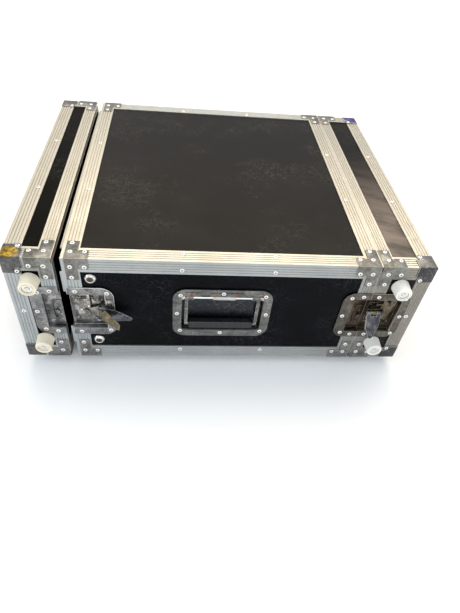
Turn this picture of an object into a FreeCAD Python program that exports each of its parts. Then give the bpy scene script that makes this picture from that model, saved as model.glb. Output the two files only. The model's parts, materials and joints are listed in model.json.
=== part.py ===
import FreeCAD, Part
import math
import os

from FreeCAD import Placement, Rotation, Vector

# A four-unit 19 inch rack flight case for effects gear: an open box of laminated panels, two lift-off
# lids, recessed handles and turning butterfly latches.
#
# Frame: X runs from the front lid to the rear lid, Y is the rack width, Z is up and the feet stand on
# Z = 0. The origin is the middle of the whole case's footprint. Millimetres throughout.

# ---- driving dimensions -------------------------------------------------------------------------
WIDTH = 530.0            # outside width, over the edge profiles
HEIGHT = 216.0           # outside height of body and lids
BODY_DEPTH = 480.0       # the rack body, seam to seam
FRONT_LID_DEPTH = 71.0
REAR_LID_DEPTH = 88.0
FRONT_LID_GAP = 12.0     # how far the unlatched front lid stands off its seam
FOOT_HEIGHT = 20.0       # rubber feet under the body
PANEL = 9.0              # plywood thickness
SKIN = 2.0               # edge profile thickness, which stands proud of the panels
SHEET = 1.2              # pressed steel thickness of braces, caps and dishes
EDGE_LEG = 25.0          # width of an edge profile's leg
SEAM_LEG = 22.0          # width of a lid's seam profile
TONGUE = 5.0             # how far the body's locating tongue stands out of its end
TONGUE_CUT_BACK = 30.0   # the tongue stops this far short of each corner

RACK_UNIT = 44.45
RACK_UNITS = 4
RACK_HOLE_COLUMNS = 465.1
RACK_HOLE_STEPS = (6.35, 22.225, 38.1)
RACK_OPENING = 450.0
RACK_HOLE_R = 3.0
RAIL_INSET = 22.0        # rail face behind the front seam
RAIL_SHEET = 2.0
RAIL_SIDE_LEG = 30.0
RAIL_SCREW_X = 38.0      # screw line behind the front seam
RAIL_SCREW_V = 68.6      # screws above and below mid height

DISH_HALF_HEIGHT = 52.0  # latch dish flange
MECHANISM_WIDTH = 70.0   # latch dish on the turning side of the seam
KEEPER_WIDTH = 44.0      # latch dish on the keeper side
DISH_CORNER_R = 20.0
LATCH_DEPTH = 9.3        # recess floor below the profile surface
LATCH_RECESS_V = 38.0
MECHANISM_RECESS_U = 56.0
KEEPER_RECESS_U = 26.0
PIVOT_U = 24.0           # latch pivot, measured from the seam and from mid height
PIVOT_V = -3.0
PIVOT_R = 4.0
HOOK_RADIUS = 32.0       # pivot to keeper post
POST_R = 3.2
HOOK_GAP = 0.5
HUB_R = 6.5              # the rotor plate round the bracket's stem
PLATE_W = (-5.2, -3.0)   # the rotor plate's two faces
WING_AXIS_W = 4.8        # height of the pin that both wings turn on
WING_PIN_R = 1.1
KNUCKLE_R = 2.0
LEAF_START = 8.0         # the wings' sheets begin this far from their pin
WING_SHEET = 1.2
WING_WIDTH = 24.0
SLOTTED_LENGTH = 42.0
SLOTTED_TIP_WIDTH = 13.0
POINTED_LENGTH = 51.0
BRACKET_T = 14.9         # half length of the wing bracket along its pin
BRACKET_W = (1.2, 2.4)   # the bracket's plate
# the middle of the wing bracket (from the seam and from mid height), which way the wings head at
# rest, and how far each stands up from lying flat that way; angles in degrees
FRONT_WINGS = {"hub": (47.5, 3.0), "heading": -10.0, "slotted": 40.0, "pointed": 6.0}
REAR_WINGS = {"hub": (13.0, 14.0), "heading": -88.0, "slotted": 3.0, "pointed": 20.0}

LOOP_U = 42.5            # middle of the rolled padlock loop, from the seam
LOOP_V = (25.3, 37.5)
LOOP_R = 5.1
LOOP_SHEET = 1.5

HANDLE_HALF = (79.5, 53.0)   # handle dish flange, half length and half height
HANDLE_RECESS = (65.5, 39.0)
HANDLE_DEPTH = 15.0
ROD_V = 31.0
ROD_W = -5.5
ROD_R = 2.5
GRIP_V = -29.0
GRIP_HALF = 54.0
BAR_R = 3.0
RUNNING = 0.06           # radial clearance of every pin in its bore

# side feet: distance from the seam, and height from mid height
LID_FEET = {"front_lid": ((36.0, 65.5), (36.0, -65.5)), "rear_lid": ((40.0, 69.0), (34.0, -66.4))}
LID_FOOT_HEIGHT = 22.0
FOOT_HOLLOW = 3.4        # depth of the hollow that takes a foot's washer and screw
RIVET_R = 3.8
RIVET_H = 1.3

# ---- derived positions --------------------------------------------------------------------------
HALF = WIDTH / 2
Z0 = FOOT_HEIGHT
Z1 = FOOT_HEIGHT + HEIGHT
ZC = (Z0 + Z1) / 2
WALL = SKIN + PANEL
OVERALL = FRONT_LID_DEPTH + FRONT_LID_GAP + BODY_DEPTH + REAR_LID_DEPTH
FRONT_SEAM = -OVERALL / 2 + FRONT_LID_DEPTH + FRONT_LID_GAP
REAR_SEAM = FRONT_SEAM + BODY_DEPTH
FRONT_LID_SEAM = FRONT_SEAM - FRONT_LID_GAP
FRONT_OUTER = FRONT_LID_SEAM - FRONT_LID_DEPTH
REAR_OUTER = REAR_SEAM + REAR_LID_DEPTH
HANDLE_X = (FRONT_SEAM + REAR_SEAM) / 2
WALLS = ("top", "bottom", "right", "left")
PARTS = {}


# ---- small helpers ------------------------------------------------------------------------------
def box(x0, x1, y0, y1, z0, z1):
    return Part.makeBox(x1 - x0, y1 - y0, z1 - z0, Vector(x0, y0, z0))


def cylinder(point, axis, radius, length):
    return Part.makeCylinder(radius, length, Vector(*point), Vector(*axis))


def prism(points, step):
    """A straight solid: a closed outline of 3-D points pushed along the vector step."""
    vectors = [Vector(*p) for p in points]
    return Part.Face(Part.makePolygon(vectors + vectors[:1])).extrude(Vector(*step))


def cut_all(shape, tools):
    return shape.cut(Part.makeCompound(tools)) if tools else shape


def joined(shapes):
    return shapes[0].fuse(shapes[1:]).removeSplitter()


def solids(shapes):
    found = []
    for shape in shapes:
        found.extend(shape.Solids)
    return found


def mirrored(shape):
    return shape.mirror(Vector(0, 0, 0), Vector(0, 1, 0))


def both_sides(shapes):
    return list(shapes) + [mirrored(s) for s in shapes]


def keep(name, shapes):
    PARTS[name] = solids(shapes)


# ---- the right side face: u along X, v up from mid height, w outwards ---------------------------
def at(u, v, w):
    return Vector(u, -HALF - w, ZC + v)


def face_box(u0, u1, v0, v1, w0, w1):
    return box(u0, u1, -HALF - w1, -HALF - w0, ZC + v0, ZC + v1)


def face_disc(u, v, w0, w1, radius):
    return cylinder(at(u, v, w0), (0, -1, 0), radius, w1 - w0)


def face_rod(v, w, u0, u1, radius):
    return cylinder(at(u0, v, w), (1, 0, 0), radius, u1 - u0)


def rounded_outline(corners):
    """Edges of a closed outline from (a, b, radius) corners, in the plane a, b."""
    edges = []
    starts = []
    ends = []
    mids = []
    count = len(corners)
    for i, (a, b, radius) in enumerate(corners):
        here = Vector(a, b, 0)
        before = Vector(*corners[i - 1][:2], 0) - here
        after = Vector(*corners[(i + 1) % count][:2], 0) - here
        before.normalize()
        after.normalize()
        half_angle = before.getAngle(after) / 2
        if radius <= 0:
            starts.append(here)
            ends.append(here)
            mids.append(None)
            continue
        run = radius / math.tan(half_angle)
        bisector = before + after
        bisector.normalize()
        centre = here + bisector * (radius / math.sin(half_angle))
        starts.append(here + before * run)
        ends.append(here + after * run)
        mids.append(centre - bisector * radius)
    for i in range(count):
        if mids[i] is not None:
            edges.append(Part.Arc(starts[i], mids[i], ends[i]).toShape())
        following = (i + 1) % count
        if ends[i].distanceToPoint(starts[following]) > 1e-6:
            edges.append(Part.LineSegment(ends[i], starts[following]).toShape())
    return edges


def face_plate(corners, w0, w1):
    """A plate on the right side face, from (u, v, corner radius) points."""
    plate = Part.Face(Part.Wire(rounded_outline(corners))).extrude(Vector(0, 0, w1 - w0))
    turned = Rotation(Vector(1, 0, 0), Vector(0, 0, 1), Vector(0, -1, 0), "XZY")
    return plate.transformed(Placement(at(0, 0, w0), turned).toMatrix())


def turn(shape, point, axis, degrees):
    placed = shape.copy()
    placed.rotate(point, Vector(*axis), degrees)
    return placed


# ---- edge profiles ------------------------------------------------------------------------------
def ribbed(width, grooves=4):
    """The outer face of a profile leg, from 0 to width, with shallow grooves along it."""
    points = [(0.0, 0.0)]
    for i in range(grooves):
        middle = 3.0 + (width - 6.0) / grooves * (i + 0.5)
        points += [(middle - 0.9, 0.0), (middle - 0.6, 0.6), (middle + 0.6, 0.6), (middle + 0.9, 0.0)]
    return points + [(width, 0.0)]


def wall_point(wall, x, depth, along):
    return {
        "top": (x, along, Z1 - depth),
        "bottom": (x, along, Z0 + depth),
        "right": (x, -HALF + depth, along),
        "left": (x, HALF - depth, along),
    }[wall]


def wall_span(wall):
    return (-HALF, HALF) if wall in ("top", "bottom") else (Z0, Z1)


def bar(wall, section, x_from, x_sign, start=None, stop=None):
    """A profile lying along one wall; the section is (distance from x_from, depth) points."""
    low, high = wall_span(wall)
    start = low if start is None else start
    stop = high if stop is None else stop
    points = [wall_point(wall, x_from + x_sign * x, d, start) for x, d in section]
    far = wall_point(wall, 0, 0, stop)
    near = wall_point(wall, 0, 0, start)
    return prism(points, [f - n for f, n in zip(far, near)])


def ring_of_bars(section, plain, x_from, x_sign):
    """Top and bottom bars run right across; the side bars are cut back to clear the plain outline."""
    across = [bar(wall, section, x_from, x_sign) for wall in ("top", "bottom")]
    room = [bar(wall, plain, x_from, x_sign) for wall in ("top", "bottom")]
    upright = [cut_all(bar(wall, section, x_from, x_sign), room) for wall in ("right", "left")]
    return across + upright


def end_frame(seam_x, inward):
    """The body's end profile: ribbed leg, flange round the panel end, and the locating tongue."""
    rest = [(EDGE_LEG, SKIN), (SKIN, SKIN), (SKIN, WALL), (0.0, WALL)]
    bars = ring_of_bars(ribbed(EDGE_LEG) + rest, ribbed(EDGE_LEG, 0) + rest, seam_x, inward)
    tongue = [(0.0, 4.0), (-TONGUE, 4.5), (-TONGUE, 6.5), (0.0, 7.0)]
    fitted = []
    for wall, profile in zip(WALLS, bars):
        low, high = wall_span(wall)
        strip = bar(wall, tongue, seam_x, inward, low + TONGUE_CUT_BACK, high - TONGUE_CUT_BACK)
        fitted.append(profile.fuse(strip).removeSplitter())
    return fitted


def seam_frame(seam_x, inward):
    """A lid's seam profile: two lips with the channel that takes the body's tongue."""
    outline = [(SEAM_LEG, SKIN), (7.0, SKIN), (7.0, WALL), (0.0, WALL)]
    channel = [(0.0, 9.4), (5.6, 9.4), (5.6, SKIN), (0.0, SKIN)]
    return ring_of_bars(ribbed(SEAM_LEG) + outline + channel, ribbed(SEAM_LEG, 0) + outline, seam_x, inward)


def corner_section(leg, grooves=4):
    """A ribbed L round one edge: points are (depth in Y, depth in Z)."""
    outer = ribbed(leg, grooves)
    down = [(a, b) for a, b in outer]
    back = [(b, a) for a, b in reversed(outer)]
    return down + [(leg, SKIN), (SKIN, SKIN), (SKIN, leg)] + back[:-1]


def long_edges(x0, x1):
    found = []
    for side in (-1, 1):
        for upper in (True, False):
            points = []
            for a, b in corner_section(EDGE_LEG):
                height = Z1 - b if upper else Z0 + b
                points.append((x0, side * (HALF - a), height))
            found.append(prism(points, (x1 - x0, 0, 0)))
    return found


def lid_edges(outer_x, inward, depth):
    bars = ring_of_bars(corner_section(EDGE_LEG), corner_section(EDGE_LEG, 0), outer_x, inward)
    first = outer_x + inward * EDGE_LEG
    last = outer_x + inward * (depth - SEAM_LEG)
    return bars + long_edges(min(first, last), max(first, last))


# ---- latch and handle cut-outs in the side walls ------------------------------------------------
def dish_cut(u0, u1):
    """The hole that a latch dish needs through one side wall, and its mirror image."""
    reach = LATCH_RECESS_V + SHEET
    return both_sides([face_box(u0, u1, -reach, reach, -WALL - 1, 1)])


FRONT_BODY_CUT = dish_cut(FRONT_SEAM - 6, FRONT_SEAM + MECHANISM_RECESS_U + SHEET)
REAR_BODY_CUT = dish_cut(REAR_SEAM - KEEPER_RECESS_U - SHEET, REAR_SEAM + 6)
FRONT_LID_CUT = dish_cut(FRONT_LID_SEAM - KEEPER_RECESS_U - SHEET, FRONT_LID_SEAM + 1)
REAR_LID_CUT = dish_cut(REAR_SEAM - 1, REAR_SEAM + MECHANISM_RECESS_U + SHEET)


# ---- panels and profiles ------------------------------------------------------------------------
def make_body_panels():
    x0 = FRONT_SEAM + SKIN
    x1 = REAR_SEAM - SKIN
    inner = HALF - SKIN
    keep("top_panel", [box(x0, x1, -inner, inner, Z1 - WALL, Z1 - SKIN)])
    keep("bottom_panel", [box(x0, x1, -inner, inner, Z0 + SKIN, Z0 + WALL)])
    side = box(x0, x1, -inner, -inner + PANEL, Z0 + WALL, Z1 - WALL)
    reach_u = HANDLE_RECESS[0] + SHEET
    reach_v = HANDLE_RECESS[1] + SHEET
    holes = FRONT_BODY_CUT[:1] + REAR_BODY_CUT[:1]
    holes.append(face_box(HANDLE_X - reach_u, HANDLE_X + reach_u, -reach_v, reach_v, -WALL - 1, 1))
    for v in (-RAIL_SCREW_V, RAIL_SCREW_V):
        holes.append(face_disc(FRONT_SEAM + RAIL_SCREW_X, v, -WALL - 1, 1, RACK_HOLE_R + 0.1))
    side = cut_all(side, holes)
    keep("right_side_panel", [side])
    keep("left_side_panel", [mirrored(side)])


def make_body_profiles():
    keep("long_edge_profiles", long_edges(FRONT_SEAM + EDGE_LEG, REAR_SEAM - EDGE_LEG))
    front = [cut_all(b, FRONT_BODY_CUT) for b in end_frame(FRONT_SEAM, 1)]
    rear = [cut_all(b, REAR_BODY_CUT) for b in end_frame(REAR_SEAM, -1)]
    keep("front_end_frame", front)
    keep("rear_end_frame", rear)


def make_lid_shell(name, seam_x, outer_x, depth, cuts):
    """Outer panel, four rim panels, outer edge profiles and the seam frame of one lid."""
    inward = 1 if seam_x > outer_x else -1
    inner = HALF - SKIN
    ends = sorted((outer_x + inward * SKIN, outer_x + inward * WALL))
    keep(name + "_panel", [box(*ends, -inner, inner, Z0 + SKIN, Z1 - SKIN)])
    a, b = sorted((outer_x + inward * WALL, seam_x - inward * 7.0))
    rims = [
        box(a, b, -inner, inner, Z1 - WALL, Z1 - SKIN),
        box(a, b, -inner, inner, Z0 + SKIN, Z0 + WALL),
        cut_all(box(a, b, -inner, -inner + PANEL, Z0 + WALL, Z1 - WALL), cuts),
        cut_all(box(a, b, inner - PANEL, inner, Z0 + WALL, Z1 - WALL), cuts),
    ]
    keep(name + "_rim_panels", rims)
    edges = lid_edges(outer_x, inward, depth)
    keep(name + "_edge_profiles", [cut_all(e, cuts) for e in edges])
    keep(name + "_seam_frame", [cut_all(f, cuts) for f in seam_frame(seam_x, -inward)])


# ---- corner hardware and rivets -----------------------------------------------------------------
def rivet_shape():
    """A domed blind rivet head with the hollow that its broken stem leaves."""
    inner = RIVET_R * 0.34
    crown = RIVET_R * 0.6
    rim = Vector(RIVET_R, 0, 0.3)
    shoulder = Vector(crown, 0, RIVET_H)
    bulge = Vector(RIVET_R * 0.86, 0, RIVET_H * 0.78)
    corners = [shoulder, Vector(inner, 0, RIVET_H - 0.1), Vector(inner, 0, 0.5), Vector(0, 0, 0.5)]
    corners += [Vector(0, 0, 0), Vector(RIVET_R, 0, 0), rim]
    edges = [Part.Arc(rim, bulge, shoulder).toShape()]
    for a, b in zip(corners, corners[1:]):
        edges.append(Part.LineSegment(a, b).toShape())
    section = Part.Face(Part.Wire(edges))
    return section.revolve(Vector(0, 0, 0), Vector(0, 0, 1), 360)


RIVET = rivet_shape()


def rivet(point, normal, scale=1.0):
    head = RIVET.copy()
    if scale != 1.0:
        head.scale(scale, Vector(0, 0, 0))
    head.Placement = Placement(Vector(*point), Rotation(Vector(0, 0, 1), Vector(*normal)))
    return head


NORMALS = {"top": (0, 0, 1), "bottom": (0, 0, -1), "right": (0, -1, 0), "left": (0, 1, 0)}


def wall_rivet(wall, x, along, height=0.0):
    return rivet(wall_point(wall, x, -height, along), NORMALS[wall])


def brace_leg(wall, x0, x1, from_edge0, from_edge1, upper, side):
    """A flat strip of sheet on one wall, near one long edge of the case."""
    x0, x1 = sorted((x0, x1))
    if wall in ("top", "bottom"):
        y0, y1 = sorted((side * (HALF - from_edge0), side * (HALF - from_edge1)))
        z0, z1 = (Z1, Z1 + SHEET) if upper else (Z0 - SHEET, Z0)
        return box(x0, x1, y0, y1, z0, z1)
    y0, y1 = sorted((side * HALF, side * (HALF + SHEET)))
    z0, z1 = (Z1 - from_edge1, Z1 - from_edge0) if upper else (Z0 + from_edge0, Z0 + from_edge1)
    return box(x0, x1, y0, y1, z0, z1)


BRACE_REACH = 39.0
BRACE_DROP = 40.0
BRACE_LEG = 18.0
BRACE_RIVETS = ((12.5, 14.5), (33.0, 14.5), (12.5, 35.0))


def brace(seam_x, away, set_back, side, upper):
    """A folded corner brace on two walls, and its six rivets."""
    flat = "top" if upper else "bottom"
    upright = "left" if side > 0 else "right"
    start = seam_x + away * set_back
    strips = []
    heads = []
    for wall in (flat, upright):
        edge = -SHEET
        strips.append(brace_leg(wall, start, seam_x + away * BRACE_REACH, edge, BRACE_LEG, upper, side))
        strips.append(brace_leg(wall, start, start + away * BRACE_LEG, edge, BRACE_DROP, upper, side))
        for along_x, from_edge in BRACE_RIVETS:
            if wall == flat:
                along = side * (HALF - from_edge)
            else:
                along = Z1 - from_edge if upper else Z0 + from_edge
            heads.append(wall_rivet(wall, seam_x + away * along_x, along, SHEET))
    return joined(strips), heads


def braces(seam_x, away, set_back):
    plates = []
    heads = []
    for side in (-1, 1):
        for upper in (True, False):
            plate, six = brace(seam_x, away, set_back, side, upper)
            plates.append(plate)
            heads.extend(six)
    return plates, heads


CAP_REACH = 29.0
CAP_WIDTH = 19.0
CAP_TAB_R = 5.7
CAP_FOLD_R = 2.6
CAP_RIVET = (20.5, 25.0)
CAP_END_RIVET = (22.0, 22.0)


def corner_cap(outer_x, inward, side, upper):
    """A three-sided steel cap with rounded folds and a round tab about each rivet, and its rivets."""
    away = Vector(-inward, side, 1 if upper else -1)
    corner = Vector(outer_x, side * HALF, Z1 if upper else Z0)

    def block(start, reach):
        """A box from start to reach, both measured inwards from the case's corner along each axis."""
        spans = [sorted((corner[i] - away[i] * start[i], corner[i] - away[i] * reach[i])) for i in range(3)]
        return box(*spans[0], *spans[1], *spans[2])

    out = (-SHEET, -SHEET, -SHEET)
    body = block(out, (CAP_REACH, CAP_REACH, CAP_REACH))
    folds = []
    for edge in body.Edges:
        middle = edge.CenterOfMass
        on = [abs(middle[i] - corner[i] - away[i] * SHEET) < 0.01 for i in range(3)]
        if sum(on) == 2:
            folds.append(edge)
    body = body.makeFillet(CAP_FOLD_R, folds)
    body = body.cut(block((0, 0, 0), (60, 60, 60)))
    strips = [
        block((-2, -2, -2), (CAP_REACH, CAP_WIDTH, CAP_WIDTH)),
        block((-2, -2, -2), (CAP_WIDTH, CAP_REACH, CAP_WIDTH)),
        block((-2, -2, -2), (CAP_WIDTH, CAP_WIDTH, CAP_REACH)),
    ]
    cap = body.common(joined(strips))
    along_x = outer_x + inward * CAP_RIVET[0]
    tab_y = side * (HALF - CAP_RIVET[1])
    tab_z = corner.z - away.z * CAP_RIVET[1]
    end_y = side * (HALF - CAP_END_RIVET[0])
    end_z = corner.z - away.z * CAP_END_RIVET[1]
    tabs = [
        cylinder((along_x, tab_y, corner.z), (0, 0, away.z), CAP_TAB_R, SHEET),
        cylinder((along_x, corner.y, tab_z), (0, side, 0), CAP_TAB_R, SHEET),
        cylinder((outer_x, end_y, end_z), (away.x, 0, 0), CAP_TAB_R, SHEET),
    ]
    cap = joined([cap] + tabs)
    flat = "top" if upper else "bottom"
    upright = "left" if side > 0 else "right"
    heads = [
        wall_rivet(flat, along_x, tab_y, SHEET),
        wall_rivet(upright, along_x, tab_z, SHEET),
        rivet((outer_x - inward * SHEET, end_y, end_z), (-inward, 0, 0)),
    ]
    return cap, heads


def profile_rivets(x_places, walls=WALLS):
    """Rivets in the middle ribs of the long edge profiles."""
    found = []
    from_edge = 17.0
    for x in x_places:
        for side in (-1, 1):
            for wall in walls:
                if wall in ("top", "bottom"):
                    found.append(wall_rivet(wall, x, side * (HALF - from_edge)))
        for wall in ("right", "left"):
            found.append(wall_rivet(wall, x, Z1 - from_edge))
            found.append(wall_rivet(wall, x, Z0 + from_edge))
    return found


def cross_rivets(x, walls_along):
    """Rivets through a profile that runs across the case, at the stated places along each wall."""
    return [wall_rivet(wall, x, along) for wall, along in walls_along]


ACROSS_PLACES = [(wall, y) for wall in ("top", "bottom") for y in (-82.0, 82.0)]
UPRIGHT_PLACES = [(wall, ZC) for wall in ("right", "left")]
DISH_RIVETS_MECHANISM = ((13.0, 44.5), (60.0, 41.5), (62.5, 0.0), (60.0, -41.5), (13.0, -45.0))
DISH_RIVETS_KEEPER = ((-12.5, 44.5), (-31.0, 41.0), (-37.5, 0.0), (-31.0, -41.0), (-12.5, -45.0))
HANDLE_RIVETS = ((-67.5, 40.4), (0.0, 45.0), (67.5, 40.4), (-72.7, 0.0))
HANDLE_RIVETS += ((72.7, 0.0), (-67.5, -40.4), (0.0, -45.0), (67.5, -40.4))


def face_rivets(x, places, height=SHEET, scale=1.0):
    heads = []
    for u, v in places:
        heads.append(rivet(at(x + u, v, height), (0, -1, 0), scale))
    return both_sides(heads)


def make_body_hardware():
    plates = []
    heads = []
    for seam_x, away, set_back in ((FRONT_SEAM, 1, 5.0), (REAR_SEAM, -1, 1.5)):
        some_plates, some_heads = braces(seam_x, away, set_back)
        plates += some_plates
        heads += some_heads
    keep("body_braces", plates)
    heads += profile_rivets((FRONT_SEAM + 174.0, FRONT_SEAM + 315.0))
    heads += face_rivets(FRONT_SEAM, DISH_RIVETS_MECHANISM)
    heads += face_rivets(REAR_SEAM, DISH_RIVETS_KEEPER)
    heads += face_rivets(HANDLE_X, HANDLE_RIVETS)
    for seam_x, away in ((FRONT_SEAM, 1), (REAR_SEAM, -1)):
        heads += cross_rivets(seam_x + away * 16.0, ACROSS_PLACES)
    keep("body_rivets", heads)


def make_lid_hardware(name, seam_x, outer_x, dish_rivets):
    inward = 1 if seam_x > outer_x else -1
    plates, heads = braces(seam_x, -inward, 1.5)
    keep(name + "_braces", plates)
    caps = []
    for side in (-1, 1):
        for upper in (True, False):
            cap, three = corner_cap(outer_x, inward, side, upper)
            caps.append(cap)
            heads.extend(three)
    keep(name + "_corner_caps", caps)
    heads += cross_rivets(outer_x + inward * 17.0, ACROSS_PLACES)
    heads += cross_rivets(outer_x + inward * 13.0, UPRIGHT_PLACES)
    heads += face_rivets(seam_x, dish_rivets)
    keep(name + "_rivets", heads)


# ---- rack rails ---------------------------------------------------------------------------------
def make_rack_rails():
    inside = HALF - WALL
    x0 = FRONT_SEAM + RAIL_INSET
    half_height = RACK_UNITS * RACK_UNIT / 2
    side_leg = box(x0, x0 + RAIL_SIDE_LEG, -inside, -inside + RAIL_SHEET, ZC - half_height, ZC + half_height)
    flange = box(x0, x0 + RAIL_SHEET, -inside, -RACK_OPENING / 2, ZC - half_height, ZC + half_height)
    holes = []
    for unit in range(RACK_UNITS):
        for step in RACK_HOLE_STEPS:
            height = ZC - half_height + unit * RACK_UNIT + step
            holes.append(cylinder((x0 - 1, -RACK_HOLE_COLUMNS / 2, height), (1, 0, 0), RACK_HOLE_R, 5.0))
    screw_x = FRONT_SEAM + RAIL_SCREW_X
    for v in (-RAIL_SCREW_V, RAIL_SCREW_V):
        holes.append(face_disc(screw_x, v, -WALL - 5, 0, RACK_HOLE_R + 0.1))
    rail = cut_all(joined([side_leg, flange]), holes)
    keep("right_rack_rail", [rail])
    keep("left_rack_rail", [mirrored(rail)])

    cup_r = 9.0
    cup_h = 3.2
    head_r = 5.6
    washers = []
    screws = []
    nuts = []
    for v in (-RAIL_SCREW_V, RAIL_SCREW_V):
        foot = at(screw_x, v, -SKIN)
        dome = Part.makeCone(cup_r, head_r + 0.6, cup_h, foot, Vector(0, -1, 0))
        seat = Part.makeCone(RACK_HOLE_R + 0.1, head_r, cup_h, foot, Vector(0, -1, 0))
        washers.append(dome.cut(seat))
        shank = face_disc(screw_x, v, -WALL - 8, -SKIN, RACK_HOLE_R)
        head = Part.makeCone(RACK_HOLE_R, head_r - 0.4, cup_h - 0.3, foot, Vector(0, -1, 0))
        drive = [
            face_box(screw_x - 2.8, screw_x + 2.8, v - 0.6, v + 0.6, -0.4, 2.0),
            face_box(screw_x - 0.6, screw_x + 0.6, v - 2.8, v + 2.8, -0.4, 2.0),
        ]
        screws.append(cut_all(joined([shank, head]), drive))
        outline = []
        for i in range(6):
            angle = math.radians(60 * i)
            outline.append((screw_x + 5.8 * math.cos(angle), v + 5.8 * math.sin(angle), 0))
        nut = face_plate(outline, -WALL - RAIL_SHEET - 5, -WALL - RAIL_SHEET)
        nuts.append(nut.cut(face_disc(screw_x, v, -WALL - 10, 0, RACK_HOLE_R)))
    keep("cup_washers", both_sides(washers))
    keep("rail_screws", both_sides(screws))
    keep("rail_nuts", both_sides(nuts))


# ---- feet ---------------------------------------------------------------------------------------
def foot_and_screw(height, base_r, tip_r):
    """A rubber foot standing on Z = 0 and pointing up, and the washered screw in its hollow."""
    hollow_r = tip_r * 0.62
    seat = height - FOOT_HOLLOW
    body = Part.makeCone(base_r, tip_r, height, Vector(0, 0, 0), Vector(0, 0, 1))
    tip = [e for e in body.Edges if e.BoundBox.ZMin > height - 0.01 and e.BoundBox.DiagonalLength > 1]
    body = body.makeFillet(2.5, tip[:1])
    ring = Part.makeCylinder(hollow_r + 2.0, 1.0, Vector(0, 0, height - 1.0))
    ring = ring.cut(Part.makeCylinder(hollow_r + 1.1, 1.0, Vector(0, 0, height - 1.0)))
    hollow = Part.makeCylinder(hollow_r, FOOT_HOLLOW, Vector(0, 0, seat))
    body = body.cut(hollow).cut(ring).cut(Part.makeCylinder(2.5, height))
    washer = Part.makeCylinder(hollow_r - 0.8, 1.2, Vector(0, 0, seat))
    pan = Part.makeCone(4.2, 3.2, 2.0, Vector(0, 0, seat + 1.2))
    cross = [
        Part.makeBox(4.4, 1.1, 1.6, Vector(-2.2, -0.55, seat + 2.2)),
        Part.makeBox(1.1, 4.4, 1.6, Vector(-0.55, -2.2, seat + 2.2)),
    ]
    shank = Part.makeCylinder(2.5, seat)
    screw = joined([shank, washer, pan]).cut(Part.makeCompound(cross))
    return body, screw


def placed(shape, point, normal):
    moved = shape.copy()
    moved.Placement = Placement(Vector(*point), Rotation(Vector(0, 0, 1), Vector(*normal)))
    return moved


def make_body_feet():
    rubber, screw = foot_and_screw(FOOT_HEIGHT + SKIN, 19.0, 17.0)
    feet = []
    screws = []
    top = Z0 + SKIN
    for x in (HANDLE_X - 180.0, HANDLE_X + 180.0):
        for y in (-200.0, 200.0):
            feet.append(placed(rubber, (x, y, top), (0, 0, -1)))
            screws.append(placed(screw, (x, y, top), (0, 0, -1)))
    keep("body_feet", feet)
    keep("body_foot_screws", screws)


def make_lid_feet(name, seam_x, away):
    rubber, screw = foot_and_screw(LID_FOOT_HEIGHT, 14.0, 12.8)
    feet = []
    screws = []
    for u, v in LID_FEET[name]:
        base = at(seam_x + away * u, v, 0)
        feet.append(placed(rubber, base, (0, -1, 0)))
        screws.append(placed(screw, base, (0, -1, 0)))
    keep(name + "_feet", feet)
    keep(name + "_foot_screws", screws)


# ---- latches ------------------------------------------------------------------------------------
def dish(u0, u1, recess_u0, recess_u1, outer_u):
    """A pressed latch dish, open towards the seam: flange, walls and floor in one sheet."""
    r = DISH_CORNER_R
    radii = [r if u == outer_u else 0 for u in (u0, u1)]
    high = DISH_HALF_HEIGHT
    corners = [(u0, -high, radii[0]), (u1, -high, radii[1]), (u1, high, radii[1]), (u0, high, radii[0])]
    flange = face_plate(corners, 0, SHEET)
    v = LATCH_RECESS_V
    tub = face_box(min(recess_u0, recess_u1), max(recess_u0, recess_u1), -v - SHEET, v + SHEET,
                   -LATCH_DEPTH - SHEET, SHEET)
    if outer_u == u1:
        tub = tub.fuse(face_box(recess_u1, recess_u1 + SHEET, -v - SHEET, v + SHEET,
                                -LATCH_DEPTH - SHEET, SHEET))
    else:
        tub = tub.fuse(face_box(recess_u0 - SHEET, recess_u0, -v - SHEET, v + SHEET,
                                -LATCH_DEPTH - SHEET, SHEET))
    inside = face_box(recess_u0 - (0 if outer_u == u0 else 5), recess_u1 + (0 if outer_u == u1 else 5),
                      -v, v, -LATCH_DEPTH, SHEET + 5)
    return joined([flange, tub]).cut(inside).removeSplitter()


def mechanism_dish(seam_x):
    u0 = seam_x + 0.5
    u1 = seam_x + MECHANISM_WIDTH
    return dish(u0, u1, u0, seam_x + MECHANISM_RECESS_U, u1)


def keeper_dish(seam_x):
    """The keeper half, with the riveted plate and post that the hook catches."""
    u0 = seam_x - KEEPER_WIDTH
    u1 = seam_x - 0.5
    shell = dish(u0, u1, seam_x - KEEPER_RECESS_U, u1, u0)
    floor = -LATCH_DEPTH
    middle = seam_x + PIVOT_U - HOOK_RADIUS
    base = face_box(middle - 7, middle + 7, PIVOT_V - 20, PIVOT_V + 20, floor, floor + SHEET)
    post = face_disc(middle, PIVOT_V, floor + SHEET, PLATE_W[1] + 1.2, POST_R)
    heads = [rivet(at(middle, PIVOT_V + v, floor + SHEET), (0, -1, 0), 0.7) for v in (-17, -9, 9)]
    return [shell, joined([base, post])] + heads


def latch_pivot(seam_x):
    """Base plate and pivot stud with its head, spot-riveted to the dish's floor."""
    floor = -LATCH_DEPTH
    base = face_box(seam_x + 6, seam_x + 53, -24, 24, floor, floor + SHEET)
    centre = seam_x + PIVOT_U
    stud = face_disc(centre, PIVOT_V, floor + SHEET, PLATE_W[1] + 0.3, PIVOT_R)
    head = face_disc(centre, PIVOT_V, PLATE_W[1] + 0.3, PLATE_W[1] + 1.8, PIVOT_R + 1.5)
    places = [(seam_x + 9.5, -20), (seam_x + 9.5, 20), (seam_x + 49, -20), (seam_x + 49, 20)]
    heads = [rivet(at(u, v, floor + SHEET), (0, -1, 0), 0.7) for u, v in places]
    return [joined([base, stud, head])] + heads


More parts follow.
